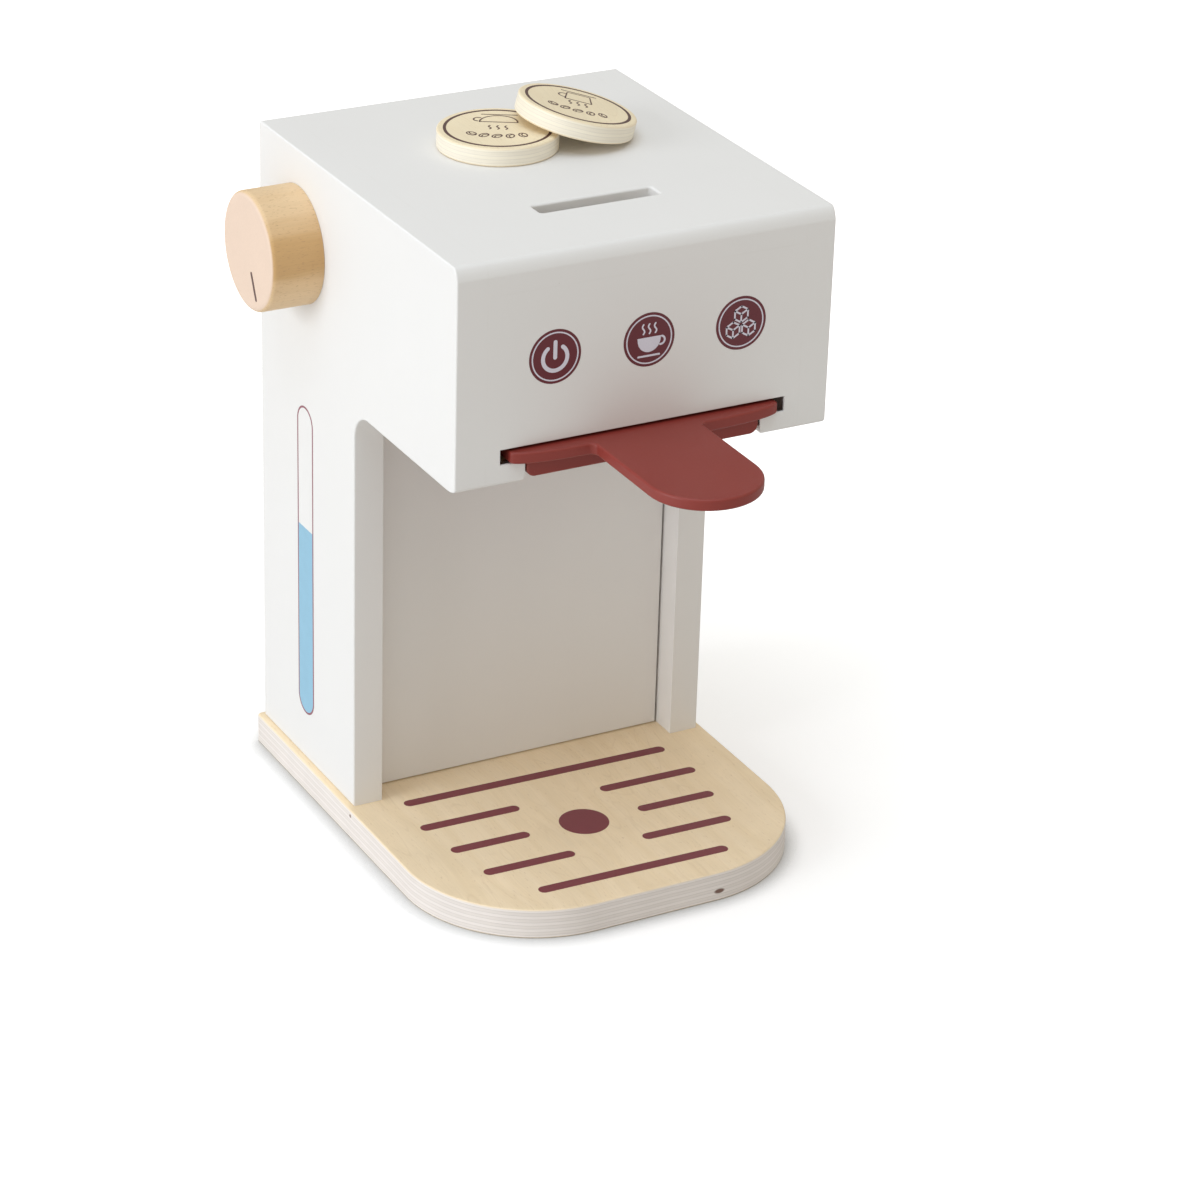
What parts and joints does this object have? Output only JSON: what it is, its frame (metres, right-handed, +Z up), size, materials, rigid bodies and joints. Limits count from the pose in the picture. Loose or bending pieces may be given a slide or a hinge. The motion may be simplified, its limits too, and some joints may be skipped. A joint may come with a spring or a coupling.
{
  "type": "toy coffee maker",
  "caption": "Wooden toy coffee maker with a disc slot in the top, a pull-out slider with a round tongue that drops the disc, a side knob and loose coffee discs.",
  "frame": {"origin": "centre of the underside of the base plate", "axes": "+Z up, -Y is the front, where the tongue points, +X is to the right when looking at the front"},
  "size_m": [0.1734, 0.2335, 0.2779],
  "materials": {
    "painted_board": "fibreboard with smooth off-white satin paint",
    "bare_board": "unpainted fibreboard",
    "birch_ply": "clear-coated birch plywood with its layers showing at the edge",
    "disc_ply": "clear-coated birch plywood with a printed face",
    "brown_lacquer": "satin red-brown lacquer with slightly rubbed edges",
    "beech": "sanded natural beech",
    "zinc_steel": "zinc plated"
  },
  "bodies": {
    "housing": {"base_plate": "birch_ply", "left_side_panel": "painted_board", "right_side_panel": "painted_board", "top_panel": "painted_board", "front_panel": "painted_board", "recess_panel": "painted_board", "back_panel": "painted_board", "left_rail": "bare_board", "right_rail": "bare_board", "front_chute_wall": "bare_board", "rear_chute_wall": "bare_board", "left_chute_cheek": "bare_board", "right_chute_cheek": "bare_board", "slider_keeper": "bare_board", "left_stop_pin": "beech", "right_stop_pin": "beech", "base_screw_1": "zinc_steel", "base_screw_2": "zinc_steel", "base_screw_3": "zinc_steel", "base_screw_4": "zinc_steel"},
    "slider": {"slider_plate": "brown_lacquer", "slider_block": "brown_lacquer"},
    "knob": {"knob": "beech", "knob_axle": "beech", "knob_ring": "bare_board"},
    "disc_flat": {"disc_flat": "disc_ply"},
    "disc_leaning": {"disc_leaning": "disc_ply"}
  },
  "joints": [
    {"name": "slider_pull", "type": "slide", "parent": "housing", "child": "slider", "axis": [0, -1, 0], "range_m": [0, 0.027]},
    {"name": "knob_turn", "type": "hinge", "parent": "housing", "child": "knob", "pos_m": [-0.0854, 0.0562, 0.2244], "axis": [-1, 0, 0], "continuous": true},
    {"name": "disc_flat_lift", "type": "slide", "parent": "housing", "child": "disc_flat", "axis": [0, 0, 1], "range_m": [0, 0.06]},
    {"name": "disc_leaning_lift", "type": "slide", "parent": "disc_flat", "child": "disc_leaning", "axis": [0, 0, 1], "range_m": [0, 0.06]}
  ]
}
